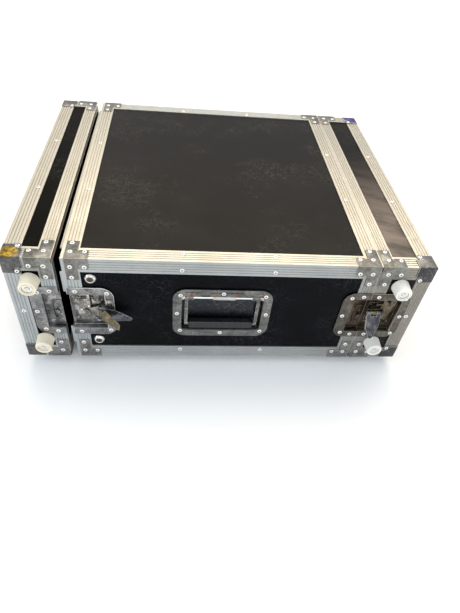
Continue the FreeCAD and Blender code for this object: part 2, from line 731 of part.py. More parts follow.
def upright_strip(seam_x, outline):
    """A bent strip as tall as the padlock loop, from its (u, w) outline."""
    low, high = LOOP_V
    return prism([at(seam_x + u, low, w) for u, w in outline], (0, 0, high - low))


def padlock_loop(seam_x):
    """A strip rolled into an upright loop, with its tail bent down to the dish's floor."""
    floor = -LATCH_DEPTH
    low, high = LOOP_V
    middle = floor + LOOP_R
    foot = at(seam_x + LOOP_U, low, middle)
    up = Vector(0, 0, 1)
    roll = Part.makeCylinder(LOOP_R, high - low, foot, up)
    top = floor + 2 * LOOP_R
    tail = [(LOOP_U, top), (LOOP_U + 3.5, top), (55.0, -6.6), (55.0, floor), (53.5, floor), (53.5, -7.2),
            (LOOP_U + 2.9, top - LOOP_SHEET), (LOOP_U, top - LOOP_SHEET)]
    bore = Part.makeCylinder(LOOP_R - LOOP_SHEET, high - low, foot, up)
    return joined([roll, upright_strip(seam_x, tail)]).cut(bore)


def padlock_tab(seam_x):
    """A bent tab spot-welded on the flange beside the loop."""
    plate = face_plate([(57.5, 18.0, 2), (67.5, 14.0, 2), (69.0, 27.0, 3), (60.0, 31.0, 3)], SHEET, 2 * SHEET)
    lip = face_box(57.6, 59.2, 19.5, 30.0, SHEET, 4.2)
    tab = joined([plate, lip])
    tab.translate(Vector(seam_x, 0, 0))
    return tab


def hub_place(seam_x, wings):
    """X and v of the middle of the wing bracket."""
    u, v = wings["hub"]
    return seam_x + u, v


def about_normal(shape, point, degrees):
    """Turned in the plane of the right side face, anticlockwise as seen from outside."""
    return turn(shape, point, (0, -1, 0), degrees)


def rotor(seam_x, wings):
    """The turning plate with its hook, and the bracket whose pin carries the wings; at rest the hook
    points up, inside the dish."""
    centre = seam_x + PIVOT_U
    pivot = at(centre, PIVOT_V, 0)
    w0, w1 = PLATE_W
    slot_half = POST_R + HOOK_GAP
    reach = PIVOT_V + HOOK_RADIUS + slot_half + 4.0
    blade = face_plate([(centre - 8, PIVOT_V, 0), (centre + 8, PIVOT_V, 0), (centre + 8, reach, 5),
                        (centre - 8, reach, 5)], w0, w1)
    throat = face_disc(centre, PIVOT_V, w0 - 1, w1 + 1, HOOK_RADIUS + slot_half)
    throat = throat.cut(face_disc(centre, PIVOT_V, w0 - 2, w1 + 2, HOOK_RADIUS - slot_half))
    throat = throat.common(face_box(centre - 40, centre + slot_half, 5, 60, w0 - 1, w1 + 1))
    hub_x, hub_v = hub_place(seam_x, wings)
    offset = math.hypot(hub_x - centre, hub_v - PIVOT_V)
    bearing = math.degrees(math.atan2(hub_v - PIVOT_V, hub_x - centre))
    arm = face_box(centre, centre + offset, PIVOT_V - HUB_R, PIVOT_V + HUB_R, w0, w1)
    plates = [
        face_disc(centre, PIVOT_V, w0, w1, 12.0),
        face_disc(hub_x, hub_v, w0, w1, HUB_R),
        about_normal(arm, pivot, bearing),
        blade,
    ]
    plate = joined(plates).cut(throat).cut(face_disc(centre, PIVOT_V, w0 - 1, w1 + 1, PIVOT_R + RUNNING))

    hub = at(hub_x, hub_v, 0)
    t = BRACKET_T
    low, high = BRACKET_W
    bracket = [face_box(hub_x - 4.5, hub_x + 4.5, hub_v - t, hub_v + t, low, high)]
    for side in (-1, 1):
        v0, v1 = sorted((hub_v + side * (t - 2.4), hub_v + side * t))
        bracket.append(face_box(hub_x - 4.5, hub_x + 4.5, v0, v1, low, WING_AXIS_W))
        bracket.append(cylinder(at(hub_x, v0, WING_AXIS_W), (0, 0, 1), 4.0, 2.4))
    pin = cylinder(at(hub_x, hub_v - t, WING_AXIS_W), (0, 0, 1), WING_PIN_R, 2 * t)
    upper = about_normal(joined(bracket + [pin]), hub, wings["heading"])
    return joined([plate, face_disc(hub_x, hub_v, w1, low, 4.5), upper])


def wing(seam_x, wings, kind):
    """One folding wing, made flat, then raised about the pin and turned to its heading."""
    hub_x, hub_v = hub_place(seam_x, wings)
    half = WING_WIDTH / 2
    w0 = WING_AXIS_W - WING_SHEET / 2
    w1 = WING_AXIS_W + WING_SHEET / 2
    start = hub_x + LEAF_START
    if kind == "slotted":
        tip = hub_x + SLOTTED_LENGTH
        tip_half = SLOTTED_TIP_WIDTH / 2
        corners = [(start, -half, 0), (tip, -tip_half, 3), (tip, tip_half, 3), (start, half, 0)]
        holes = []
        for v in (-4.6, -1.2, 2.2):
            holes.append(face_box(tip - 13, tip - 4, hub_v + v, hub_v + v + 2.4, w0 - 1, w1 + 1))
        knuckles = ((-5.0, 5.0),)
    else:
        tip = hub_x + POINTED_LENGTH
        waist = hub_x + POINTED_LENGTH * 0.47
        corners = [(start, -half, 0), (waist, -half, 40), (tip - 3, -4.0, 4), (tip, 0, 3),
                   (tip - 3, 4.0, 4), (waist, half, 40), (start, half, 0)]
        holes = [face_disc(tip - 8, hub_v, w0 - 1, w1 + 1, 1.9)]
        knuckles = ((-11.5, -5.4), (5.4, 11.5))
    leaf = [face_plate([(u, hub_v + v, r) for u, v, r in corners], w0, w1)]
    for v0, v1 in knuckles:
        leaf.append(face_box(hub_x, start + 1, hub_v + v0, hub_v + v1, w0, w1))
        leaf.append(cylinder(at(hub_x, hub_v + v0, WING_AXIS_W), (0, 0, 1), KNUCKLE_R, v1 - v0))
    holes.append(cylinder(at(hub_x, hub_v - 20, WING_AXIS_W), (0, 0, 1), WING_PIN_R + RUNNING, 40))
    leaf = cut_all(joined(leaf), holes)
    raised = turn(leaf, at(hub_x, hub_v, WING_AXIS_W), (0, 0, -1), wings[kind])
    return about_normal(raised, at(hub_x, hub_v, 0), wings["heading"])


def make_latches():
    keep("front_latch_dishes", both_sides([mechanism_dish(FRONT_SEAM)]))
    keep("rear_latch_dishes", both_sides([mechanism_dish(REAR_SEAM)]))
    keep("front_keeper_dishes", both_sides(keeper_dish(FRONT_LID_SEAM)))
    keep("rear_keeper_dishes", both_sides(keeper_dish(REAR_SEAM)))
    for end, seam_x in (("front", FRONT_SEAM), ("rear", REAR_SEAM)):
        keep(f"{end}_latch_pivots", both_sides(latch_pivot(seam_x)))
    loops = [padlock_loop(FRONT_SEAM), padlock_tab(FRONT_SEAM)]
    keep("front_padlock_loops", both_sides(loops))
    keep("rear_padlock_loops", both_sides([padlock_loop(REAR_SEAM)]))
    for end, seam_x, wings in (("front", FRONT_SEAM, FRONT_WINGS), ("rear", REAR_SEAM, REAR_WINGS)):
        turning = rotor(seam_x, wings)
        leaves = {kind: wing(seam_x, wings, kind) for kind in ("slotted", "pointed")}
        for side in ("right", "left"):
            keep(f"{side}_{end}_latch_rotor", [mirrored(turning) if side == "left" else turning])
            for kind, leaf in leaves.items():
                keep(f"{side}_{end}_{kind}_wing", [mirrored(leaf) if side == "left" else leaf])


# ---- handles ------------------------------------------------------------------------------------
def make_handles():
    long_half, high_half = HANDLE_HALF
    ru, rv = HANDLE_RECESS
    x = HANDLE_X
    corners = [(x - long_half, -high_half, 21), (x + long_half, -high_half, 21),
               (x + long_half, high_half, 21), (x - long_half, high_half, 21)]
    flange = face_plate(corners, 0, SHEET)
    deep = -HANDLE_DEPTH
    tub_outline = [(x - ru - SHEET, -rv - SHEET, 7), (x + ru + SHEET, -rv - SHEET, 7),
                   (x + ru + SHEET, rv + SHEET, 7), (x - ru - SHEET, rv + SHEET, 7)]
    tub = face_plate(tub_outline, deep - SHEET, SHEET)
    inside = face_plate([(x - ru, -rv, 6), (x + ru, -rv, 6), (x + ru, rv, 6), (x - ru, rv, 6)], deep, 10)
    shell = joined([flange, tub]).cut(inside)
    hinge_plate = face_box(x - 58, x + 63, rv - 0.5, 47, 0, SHEET + 1.0)
    notches = [face_disc(x + u, 47, SHEET, 5, 8.0) for u in (-29.0, 40.0)]
    notches.append(face_disc(x + HANDLE_RIVETS[1][0], HANDLE_RIVETS[1][1], SHEET, 5, RIVET_R + 0.5))
    shell = joined([shell, cut_all(hinge_plate, notches)])
    knuckles = []
    for u0, u1 in ((-ru, -ru + 3.5), (-16, 20), (ru - 3.5, ru)):
        ear = face_box(x + u0, x + u1, ROD_V - 1, rv, ROD_W - 2.0, ROD_W + 2.0)
        roll = face_rod(ROD_V, ROD_W, x + u0, x + u1, ROD_R + 2.0)
        knuckles.append(ear.fuse(roll))
    rod = face_rod(ROD_V, ROD_W, x - ru + 0.2, x + ru - 0.2, ROD_R)
    pressed = joined([shell] + knuckles).cut(face_rod(ROD_V, ROD_W, x - ru, x + ru, ROD_R))
    keep("handle_dishes", both_sides([pressed]))
    keep("handle_rods", both_sides([rod]))

    pieces = []
    eye_r = ROD_R + 2.2
    bar_half = 60.5
    for sign in (-1, 1):
        u0, u1 = sorted((x + sign * 47.0, x + sign * bar_half))
        pieces.append(face_rod(ROD_V, ROD_W, u0, u1, eye_r))
        u0, u1 = sorted((x + sign * (bar_half - 5.0), x + sign * bar_half))
        pieces.append(face_box(u0, u1, GRIP_V, ROD_V, ROD_W - 1.5, ROD_W + 1.5))
    pieces.append(face_rod(GRIP_V, ROD_W, x - bar_half, x + bar_half, BAR_R))
    bail = joined(pieces).cut(face_rod(ROD_V, ROD_W, x - ru, x + ru, ROD_R + RUNNING))
    grip = face_plate([(x - GRIP_HALF, GRIP_V - 7.5, 3), (x + GRIP_HALF, GRIP_V - 7.5, 3),
                       (x + GRIP_HALF, GRIP_V + 7.5, 3), (x - GRIP_HALF, GRIP_V + 7.5, 3)],
                      ROD_W - 6.0, ROD_W + 5.5)
    long_runs = []
    for edge in grip.Edges:
        size = edge.BoundBox
        if size.XLength > GRIP_HALF and size.YLength < 0.01 and size.ZLength < 0.01:
            long_runs.append(edge)
    grip = grip.makeFillet(2.4, long_runs)
    grip = grip.cut(face_rod(GRIP_V, ROD_W, x - bar_half, x + bar_half, BAR_R))
    keep("right_handle_bail", [bail])
    keep("left_handle_bail", [mirrored(bail)])
    keep("right_handle_grip", [grip])
    keep("left_handle_grip", [mirrored(grip)])


# ---- build and write ----------------------------------------------------------------------------
make_body_panels()
make_body_profiles()
make_lid_shell("front_lid", FRONT_LID_SEAM, FRONT_OUTER, FRONT_LID_DEPTH, FRONT_LID_CUT)
make_lid_shell("rear_lid", REAR_SEAM, REAR_OUTER, REAR_LID_DEPTH, REAR_LID_CUT)
make_body_hardware()
make_lid_hardware("front_lid", FRONT_LID_SEAM, FRONT_OUTER, DISH_RIVETS_KEEPER)
make_lid_hardware("rear_lid", REAR_SEAM, REAR_OUTER, DISH_RIVETS_MECHANISM)
make_rack_rails()
make_body_feet()
make_lid_feet("front_lid", FRONT_LID_SEAM, -1)
make_lid_feet("rear_lid", REAR_SEAM, 1)
make_latches()
make_handles()

os.makedirs("parts", exist_ok=True)
for name, pieces in PARTS.items():
    whole = pieces[0] if len(pieces) == 1 else Part.makeCompound(pieces)
    whole.exportStep(f"parts/{name}.step")
    valid = all(p.isValid() and p.Volume > 0 for p in pieces)
    size = whole.BoundBox
    print(f"{name}: {len(pieces)} solids, {whole.Volume / 1000:.1f} cm3, valid {valid}, "
          f"X {size.XMin:.1f} {size.XMax:.1f} Y {size.YMin:.1f} {size.YMax:.1f} "
          f"Z {size.ZMin:.1f} {size.ZMax:.1f}")
print(len(PARTS), "nodes")
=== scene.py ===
import json
import math
import random

import bmesh
import bpy
from mathutils import Matrix, Vector


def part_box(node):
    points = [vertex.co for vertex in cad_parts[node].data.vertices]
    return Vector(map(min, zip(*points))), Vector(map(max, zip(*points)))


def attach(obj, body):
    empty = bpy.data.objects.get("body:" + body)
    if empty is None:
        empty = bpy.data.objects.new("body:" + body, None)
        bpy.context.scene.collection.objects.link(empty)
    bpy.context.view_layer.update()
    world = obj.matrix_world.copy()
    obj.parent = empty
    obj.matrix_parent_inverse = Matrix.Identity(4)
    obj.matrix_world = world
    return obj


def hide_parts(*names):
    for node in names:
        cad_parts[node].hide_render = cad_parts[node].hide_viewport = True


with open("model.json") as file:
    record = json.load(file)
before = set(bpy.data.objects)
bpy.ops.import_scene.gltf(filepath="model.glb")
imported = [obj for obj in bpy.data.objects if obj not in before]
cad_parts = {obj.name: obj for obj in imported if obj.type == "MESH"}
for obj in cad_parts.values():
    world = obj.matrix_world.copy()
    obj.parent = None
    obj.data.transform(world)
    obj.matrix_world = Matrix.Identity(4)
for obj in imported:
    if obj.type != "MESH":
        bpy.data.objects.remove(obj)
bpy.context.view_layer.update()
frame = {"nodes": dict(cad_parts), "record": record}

# Looks for a rack flight case standing on a pale floor: worn black laminate, ribbed aluminium edges,
# riveted zinc corner hardware, butterfly latches and pressed handle dishes.
#
# Everything is in metres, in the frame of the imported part: +X from the front lid to the rear lid, +Y
# away from the camera's side, +Z up, feet on Z = 0.

NODES = frame["nodes"]

# ---- places and sizes ---------------------------------------------------------------------------
MM = 0.001
LID_LOW, LID_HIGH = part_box("front_lid_edge_profiles")
HALF_WIDTH = LID_HIGH.y
CASE_BOTTOM = LID_LOW.z
CASE_TOP = LID_HIGH.z
MID_HEIGHT = (CASE_BOTTOM + CASE_TOP) / 2
FRONT_END = LID_LOW.x
REAR_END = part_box("rear_lid_edge_profiles")[1].x
HANDLE_LOW, HANDLE_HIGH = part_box("handle_dishes")
HANDLE_X = (HANDLE_LOW.x + HANDLE_HIGH.x) / 2
ROD_HEIGHT = sum(corner.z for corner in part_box("handle_rods")) / 2
SMALL_SOLID = 12 * MM        # solids smaller than this are rivets and pins
WELD = 0.01 * MM             # vertices closer than this are one
FLAT_ANGLE = 1.0             # degrees: faces that meet at less are joined
SHARP_ANGLE = 35             # degrees: edges sharper than this are rounded
BODIES = frame["record"]["behaviour"]["bodies"]
BODY_OF = {node: body for body, nodes in BODIES.items() for node in nodes}
SIDES = ("right", "left")

# ---- camera -------------------------------------------------------------------------------------
# its place, the way it looks and the picture's right, which make_camera() squares up
CAMERA_AT = Vector((-0.0757, -0.8065, 0.6917))
LOOK = Vector((0.110, 0.699, -0.706))
RIGHT = Vector((0.9937, -0.0657, 0.0902))
FOCAL_LENGTH = 28.25         # mm


def make_camera():
    data = bpy.data.cameras.new("camera")
    data.lens = FOCAL_LENGTH
    data.clip_start = 0.01
    camera = bpy.data.objects.new("camera", data)
    bpy.context.collection.objects.link(camera)
    look = LOOK.normalized()
    right = (RIGHT - look * RIGHT.dot(look)).normalized()
    up = right.cross(look)
    turned = Matrix((right, up, -look)).transposed()
    camera.matrix_world = Matrix.Translation(CAMERA_AT) @ turned.to_4x4()
    bpy.context.scene.camera = camera


# ---- floor and light ----------------------------------------------------------------------------
def make_floor():
    reach = 6.0
    mesh = bpy.data.meshes.new("floor")
    corners = [(-reach, -reach, 0), (reach, -reach, 0), (reach, reach, 0), (-reach, reach, 0)]
    mesh.from_pydata(corners, [], [(0, 1, 2, 3)])
    floor = bpy.data.objects.new("floor", mesh)
    bpy.context.collection.objects.link(floor)
    g = Graph("pale_floor")
    g.shader(base=(1.0, 1.0, 1.0), roughness=0.9)
    g.bsdf.inputs["Specular IOR Level"].default_value = 0.1
    mesh.materials.append(g.material)


def area_light(name, place, target, size, power, colour):
    data = bpy.data.lights.new(name, "AREA")
    data.shape = "RECTANGLE"
    data.size, data.size_y = size
    data.energy = power
    data.color = colour
    light = bpy.data.objects.new(name, data)
    light.location = place
    light.rotation_mode = "QUATERNION"
    light.rotation_quaternion = (Vector(target) - Vector(place)).to_track_quat("-Z", "Y")
    bpy.context.collection.objects.link(light)


def make_light():
    world = bpy.data.worlds.new("studio")
    world.use_nodes = True
    background = world.node_tree.nodes["Background"]
    background.inputs["Color"].default_value = (0.93, 0.96, 1.0, 1.0)
    background.inputs["Strength"].default_value = 0.72
    scene = bpy.context.scene
    scene.world = world
    scene.view_settings.view_transform = "Standard"
    area_light("key", (0.4, 1.5, 2.8), (0, 0, 0.1), (3.6, 2.8), 84.0, (1.0, 0.87, 0.67))
    area_light("side", (-2.6, -0.8, 1.6), (0, 0, 0.1), (1.4, 1.4), 22.0, (0.86, 0.94, 1.0))
    area_light("fill", (0.4, -2.8, 1.9), (0, -0.4, 0.1), (2.4, 1.2), 28.0, (0.80, 0.91, 1.0))


# ---- node graphs --------------------------------------------------------------------------------
SCRATCH_ALONG = 55.0         # noise scale along a scratch, per metre
SCRATCH_ACROSS = 1900.0      # and across it
SCRATCH_ANGLES = (9, -31, 52, 83, 127)
RUST_OFFSETS = (-51, -13.5, 22, 60)   # rust spots along the handle's hinge, mm from its middle
RUST_HEIGHT = 41             # and above the case's mid height, mm


def scaled(colour, factor):
    return tuple(min(1.0, c * factor) for c in colour)


class Graph:
    """A material's node tree, with short calls for the nodes that this scene uses."""

    def __init__(self, name):
        self.material = bpy.data.materials.new(name)
        self.material.use_nodes = True
        self.nodes = self.material.node_tree.nodes
        self.links = self.material.node_tree.links
        self.bsdf = self.nodes["Principled BSDF"]
        self.origin = None

    def put(self, value, socket):
        """A socket takes a link if it is given one, and otherwise a plain value."""
        if isinstance(value, bpy.types.NodeSocket):
            self.links.new(value, socket)
        elif isinstance(value, tuple) and len(value) == 3 and socket.type == "RGBA":
            socket.default_value = (*value, 1.0)
        else:
            socket.default_value = value

    def shader(self, base, roughness, metallic=0.0, bump=None, distance=0.0):
        self.put(base, self.bsdf.inputs["Base Color"])
        self.put(roughness, self.bsdf.inputs["Roughness"])
        self.put(metallic, self.bsdf.inputs["Metallic"])
        if bump is not None:
            node = self.nodes.new("ShaderNodeBump")
            node.inputs["Distance"].default_value = distance
            self.put(bump, node.inputs["Height"])
            self.links.new(node.outputs["Normal"], self.bsdf.inputs["Normal"])
        return self.material

    def place(self, output="Object"):
        if self.origin is None:
            self.origin = self.nodes.new("ShaderNodeTexCoord")
        return self.origin.outputs[output]

    def axes(self, output="Object"):
        node = self.nodes.new("ShaderNodeSeparateXYZ")
        self.links.new(self.place(output), node.inputs["Vector"])
        return [node.outputs[axis] for axis in "XYZ"]

    def mapping(self, vector, scale=(1, 1, 1), turn=(0, 0, 0)):
        node = self.nodes.new("ShaderNodeMapping")
        node.inputs["Scale"].default_value = scale
        node.inputs["Rotation"].default_value = [math.radians(a) for a in turn]
        self.links.new(vector, node.inputs["Vector"])
        return node.outputs["Vector"]

    def noise(self, scale, detail=4.0, roughness=0.55, vector=None):
        node = self.nodes.new("ShaderNodeTexNoise")
        node.inputs["Scale"].default_value = scale
        node.inputs["Detail"].default_value = detail
        node.inputs["Roughness"].default_value = roughness
        self.links.new(vector or self.place(), node.inputs["Vector"])
        return node.outputs["Fac"]

    def drawn(self, scale, detail=3.0, turn=(0, 0, 0)):
        """Noise stretched along the turned axes: a low scale makes it long that way."""
        return self.noise(1.0, detail, vector=self.mapping(self.mapping(self.place(), turn=turn), scale))

    def cells(self, scale):
        """A flat random value in each crystal of a spangled surface."""
        node = self.nodes.new("ShaderNodeTexVoronoi")
        node.inputs["Scale"].default_value = scale
        self.links.new(self.place(), node.inputs["Vector"])
        split = self.nodes.new("ShaderNodeSeparateColor")
        self.links.new(node.outputs["Color"], split.inputs["Color"])
        return split.outputs["Red"]

    def ramp(self, value, low, high, out_low=0.0, out_high=1.0):
        """A smooth step of value between low and high."""
        node = self.nodes.new("ShaderNodeMapRange")
        node.interpolation_type = "SMOOTHSTEP"
        for socket, number in zip(node.inputs[1:5], (low, high, out_low, out_high)):
            socket.default_value = number
        self.put(value, node.inputs["Value"])
        return node.outputs["Result"]

    def math(self, operation, a, b=0.0, c=0.0):
        node = self.nodes.new("ShaderNodeMath")
        node.operation = operation
        for value, socket in zip((a, b, c), node.inputs):
            self.put(value, socket)
        return node.outputs[0]

    def times(self, a, b):
        return self.math("MULTIPLY", a, b)

    def mix(self, factor, a, b):
        node = self.nodes.new("ShaderNodeMix")
        node.data_type = "RGBA"
        self.put(factor, node.inputs["Factor"])
        self.put(a, node.inputs["A"])
        self.put(b, node.inputs["B"])
        return node.outputs["Result"]

    def depth(self):
        """How far a point lies inside the case's outer faces."""
        x, y, z = self.axes()
        sides = self.math("SUBTRACT", HALF_WIDTH, self.math("ABSOLUTE", y))
        top = self.math("SUBTRACT", CASE_TOP, z)
        bottom = self.math("SUBTRACT", z, CASE_BOTTOM)
        ends = self.math("SUBTRACT", REAR_END, self.math("ABSOLUTE", x))
        nearest = self.math("MINIMUM", sides, self.math("MINIMUM", top, bottom))
        return self.math("MINIMUM", nearest, ends)

    def facing(self, axis):
        """1 on the faces that look along an axis, whichever way."""
        return self.ramp(self.math("ABSOLUTE", self.axes("Normal")[axis]), 0.6, 0.8)

    def near(self, point, radius, ragged=0.5):
        """1 around a point, falling to 0 at the radius, with a ragged edge."""
        node = self.nodes.new("ShaderNodeVectorMath")
        node.operation = "DISTANCE"
        self.links.new(self.place(), node.inputs[0])
        node.inputs[1].default_value = point
        wobble = self.math("MULTIPLY_ADD", self.noise(180.0), radius * ragged, -radius * ragged / 2)
        distance = self.math("ADD", node.outputs["Value"], wobble)
        return self.ramp(distance, radius * 0.8, radius, 1.0, 0.0)

    def on_sides(self, x, z, radius):
        """1 around a place on both side faces."""
        spots = [self.near((x, side * HALF_WIDTH, z), radius, 1.2) for side in (-1, 1)]
        return self.math("MAXIMUM", *spots)

    def scratches(self, amount):
        """Short thin lines at several angles on the faces that look along Z or Y, gathered in patches."""
        total = None
        for axis, across in ((2, 1), (1, 2)):
            scale = [SCRATCH_ALONG] * 3
            scale[across] = SCRATCH_ACROSS
            scale[axis] = 1.0
            lines = None
            for angle in SCRATCH_ANGLES:
                turn = [0, 0, 0]
                turn[axis] = angle
                streak = self.ramp(self.drawn(scale, 0.0, turn), 0.745, 0.80)
                lines = streak if lines is None else self.math("MAXIMUM", lines, streak)
            lines = self.times(lines, self.facing(axis))
            total = lines if total is None else self.math("ADD", total, lines)
        patches = self.ramp(self.noise(11.0, 3.0), 0.62 - 0.3 * amount, 0.72)
        return self.times(total, patches)


# ---- materials ----------------------------------------------------------------------------------
def laminate(name, colour, roughness, shine, scuff, mark, dust_and_sheen=None):
    """Film-faced plywood: dark, cloudy, smeared and scratched. Any last colour is a dusty film mixed with
    a painted sheen, thicker towards -Y.
    """
    g = Graph(name)
    tone = g.mix(g.ramp(g.noise(5.0, 6.0), 0.35, 0.7), colour, scaled(colour, 1.8))
    smears = g.ramp(g.noise(17.0, 8.0, 0.7), 0.48, 0.75)
    tone = g.mix(g.times(smears, 0.5 * scuff), tone, scaled(colour, 3.0))
    if dust_and_sheen is not None:
        # painted sheen with a dusty film: a brown haze on the faces that look up, growing towards -Y
        nearer_sheen_and_dust = g.ramp(g.axes()[1], 0.12, -HALF_WIDTH)
        cloudy = g.ramp(g.drawn((12, 34, 12), 7.0, (0, 0, 20)), 0.30, 0.62, 0.35, 1.0)
        tone = g.mix(g.times(g.times(nearer_sheen_and_dust, cloudy), g.facing(2)), tone, dust_and_sheen)
    lines = g.scratches(scuff)
    chips = g.times(g.ramp(g.noise(420.0, 1.0), 0.74, 0.78), g.ramp(g.noise(13.0, 2.0), 0.5, 0.62))
    tone = g.mix(g.times(lines, 0.5), tone, mark)
    tone = g.mix(g.times(chips, 0.5 * scuff), tone, mark)
    gloss = g.math("MULTIPLY_ADD", g.noise(14.0, 5.0), 0.22, roughness - 0.11)
    gloss = g.math("MULTIPLY_ADD", smears, 0.10, gloss)
    height = g.math("SUBTRACT", g.times(g.noise(1700.0, 2.0), 0.25), lines)
    g.shader(tone, gloss, 0.0, height, 0.12 * MM)
    g.bsdf.inputs["Specular IOR Level"].default_value = shine
    return g.material


def aluminium(name, colour, grime, along):
    """Extruded edging: drawn lines, dull oxide clouds, scratches, dirt in the grooves, a painted cool
    reflection on the side faces, painted warm light on the tops, and painted shade with grime on the
    side faces towards the rear."""
    g = Graph(name)
    fine = [700.0, 700.0, 700.0]
    for axis in along:
        fine[axis] = 12.0
    drawn = g.drawn(fine)
    cloud = g.noise(16.0, 6.0, 0.65)
    tone = g.mix(g.ramp(cloud, 0.3, 0.75), colour, scaled(colour, 0.8))
    tone = g.mix(g.times(g.ramp(drawn, 0.45, 0.75), 0.35), tone, scaled(colour, 0.6))
    dirt = g.ramp(g.noise(60.0, 8.0, 0.72), 0.55, 0.74)
    tone = g.mix(g.times(dirt, 0.38), tone, grime)
    depth = g.depth()
    groove = g.times(g.ramp(depth, 0.15 * MM, 0.5 * MM), g.ramp(depth, 0.7 * MM, 1.2 * MM, 1.0, 0.0))
    tone = g.mix(g.times(groove, 0.42), tone, grime)
    # painted light: the side faces take a painted cool blue reflection and the tops a painted warm light
    tone = g.mix(g.times(g.facing(1), 0.45), tone, (0.30, 0.37, 0.43))
    tone = g.mix(g.times(g.facing(2), 0.35), tone, (0.70, 0.63, 0.47))
    # painted shade with grime: the side faces darken towards the rear in the grime colour
    rear_shade_and_grime = g.times(g.ramp(g.axes()[0], 0.13, 0.27), g.facing(1))
    tone = g.mix(g.times(rear_shade_and_grime, 0.68), tone, grime)
    lines = g.scratches(0.8)
    tone = g.mix(g.times(lines, 0.5), tone, (0.85, 0.85, 0.85))
    gloss = g.math("MULTIPLY_ADD", cloud, 0.3, 0.20)
    gloss = g.math("MULTIPLY_ADD", dirt, 0.15, gloss)
    height = g.math("SUBTRACT", g.times(drawn, 0.6), lines)
    g.shader(tone, gloss, 0.82, height, 0.10 * MM)
    return g.material


def zinc(name, light, dark, grime, amount, roughness=0.34, extra=None):
    """Plated pressed steel: spangle, stains, clouds of grime and bright fine scratches."""
    g = Graph(name)
    stain = g.noise(50.0, 9.0, 0.72)
    tone = g.mix(g.ramp(stain, 0.36, 0.64), light, dark)
    tone = g.mix(g.times(g.cells(260.0), 0.4), tone, scaled(dark, 0.8))
    tone = g.mix(g.times(g.ramp(g.noise(240.0, 5.0), 0.46, 0.66), 0.4), tone, scaled(dark, 0.55))
    cover = g.ramp(g.noise(26.0, 9.0, 0.74), 0.66 - 0.3 * amount, 0.80 - 0.25 * amount)
    tone = g.mix(g.times(cover, 0.4 + 0.5 * amount), tone, grime)
    if extra is not None:
        tone = extra(g, tone)
    lines = g.scratches(1.0)
    tone = g.mix(g.times(lines, 0.55), tone, scaled(light, 2.2))
    gloss = g.math("MULTIPLY_ADD", stain, 0.4, roughness - 0.18)
    shine = g.math("MULTIPLY_ADD", cover, -0.45 * amount, 0.9)
    height = g.math("SUBTRACT", g.times(g.noise(480.0, 4.0), 0.6), lines)
    g.shader(tone, gloss, shine, height, 0.10 * MM)
    return g.material


def bright_metal(name, colour, roughness, grime=(0.16, 0.12, 0.08), dirty=0.35):
    g = Graph(name)
    stain = g.noise(260.0, 6.0, 0.7)
    tone = g.mix(g.times(g.ramp(stain, 0.5, 0.75), dirty), colour, grime)
    gloss = g.math("MULTIPLY_ADD", stain, 0.35, roughness - 0.12)
    return g.shader(tone, gloss, 0.95, g.noise(900.0, 3.0), 0.05 * MM)


def rubber(name, colour, dirt, dirty, roughness=0.55):
    g = Graph(name)
    smear = g.noise(70.0, 8.0, 0.7)
    tone = g.mix(g.ramp(g.noise(25.0, 4.0), 0.35, 0.7), colour, scaled(colour, 0.85))
    tone = g.mix(g.times(g.ramp(smear, 0.5, 0.75), dirty), tone, dirt)
    gloss = g.math("MULTIPLY_ADD", smear, 0.3, roughness - 0.12)
    return g.shader(tone, gloss, 0.0, g.noise(800.0, 3.0), 0.15 * MM)


def cap_shade_and_tape(g, tone):
    """Painted shade on the vertical faces, deepest towards the rear, and torn coloured tape left on two of
    the lids' upper corners.
    """
    # painted shade: the vertical faces turn near black, more so towards the rear
    upright_shade = g.math("SUBTRACT", 1.0, g.facing(2))
    shade_towards_rear = g.ramp(g.axes()[0], -0.1, 0.25, 0.35, 0.8)
    tone = g.mix(g.times(upright_shade, shade_towards_rear), tone, (0.028, 0.030, 0.034))
    inset = 10 * MM
    yellow = g.near((FRONT_END + inset, -HALF_WIDTH + inset, CASE_TOP), 15 * MM)
    yellow = g.times(yellow, g.facing(2))
    torn = g.ramp(g.noise(150.0, 6.0, 0.7), 0.38, 0.6)
    tone = g.mix(yellow, tone, g.mix(torn, (0.10, 0.07, 0.03), (0.50, 0.33, 0.03)))
    blue = g.near((REAR_END - inset, HALF_WIDTH - inset, CASE_TOP), 17 * MM)
    return g.mix(g.times(blue, g.facing(2)), tone, g.mix(torn, (0.02, 0.02, 0.08), (0.07, 0.05, 0.30)))


def rim(g, tone, colour, amount):
    """A bright rubbed line where a pressed flange turns in."""
    depth = g.depth()
    line = g.times(g.ramp(depth, -0.7 * MM, -0.3 * MM), g.ramp(depth, 0.8 * MM, 1.6 * MM, 1.0, 0.0))
    return g.mix(g.times(line, amount), tone, colour)


def handle_marks(g, tone):
    """Bright worn hinge rolls, rust along the hinge plate, a floor darkened by grease, painted shade and a
    painted dark reflection, and a bright rim.
    """
    # painted shade and a painted dark reflection with grease: the deep floor of the dish goes blue-black
    floor = g.ramp(g.depth(), 7 * MM, 14 * MM)
    tone = g.mix(g.times(floor, 0.88), tone, (0.010, 0.015, 0.022))
    height = g.math("ABSOLUTE", g.math("SUBTRACT", g.axes()[2], ROD_HEIGHT))
    rolls = g.times(g.ramp(height, 3.5 * MM, 5.5 * MM, 1.0, 0.0), g.ramp(g.depth(), 0.5 * MM, 2 * MM))
    rolls = g.times(rolls, g.ramp(g.noise(70.0, 4.0), 0.34, 0.5))
    tone = g.mix(g.times(rolls, 0.8), tone, (0.72, 0.68, 0.62))
    for offset in RUST_OFFSETS:
        rust = g.on_sides(HANDLE_X + offset * MM, MID_HEIGHT + RUST_HEIGHT * MM, 4.5 * MM)
        tone = g.mix(g.times(rust, 0.75), tone, (0.22, 0.055, 0.02))
    return rim(g, tone, (0.70, 0.70, 0.69), 0.7)


